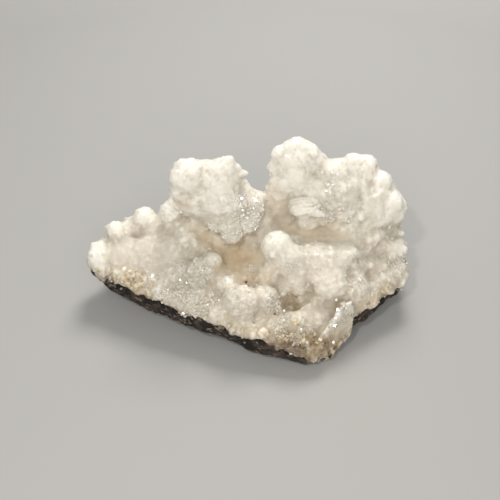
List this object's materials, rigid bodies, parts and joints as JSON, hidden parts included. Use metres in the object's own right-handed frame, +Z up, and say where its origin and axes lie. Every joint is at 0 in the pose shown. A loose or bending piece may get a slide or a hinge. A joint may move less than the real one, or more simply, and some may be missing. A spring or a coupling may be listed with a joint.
{
  "type": "aragonite specimen",
  "caption": "Mineral specimen: a milky white, knobbly aragonite crust with a tower, knobs and a hollow, grown on a broken plate of dark rock that lies flat.",
  "frame": {"origin": "middle of the specimen's outline at table height", "axes": "+X along the longest side, towards the broad end; +Z up from the table; the pictured front faces -Y"},
  "size_m": [0.0944, 0.0532, 0.0463],
  "materials": {
    "rock": "rough, broken, dark brown speckled with grey",
    "aragonite": "milky, slightly translucent, with fine glinting crystals and honey-coloured hollows"
  },
  "bodies": {
    "root": {"rock_matrix": "rock", "aragonite_crust": "aragonite"}
  },
  "joints": []
}
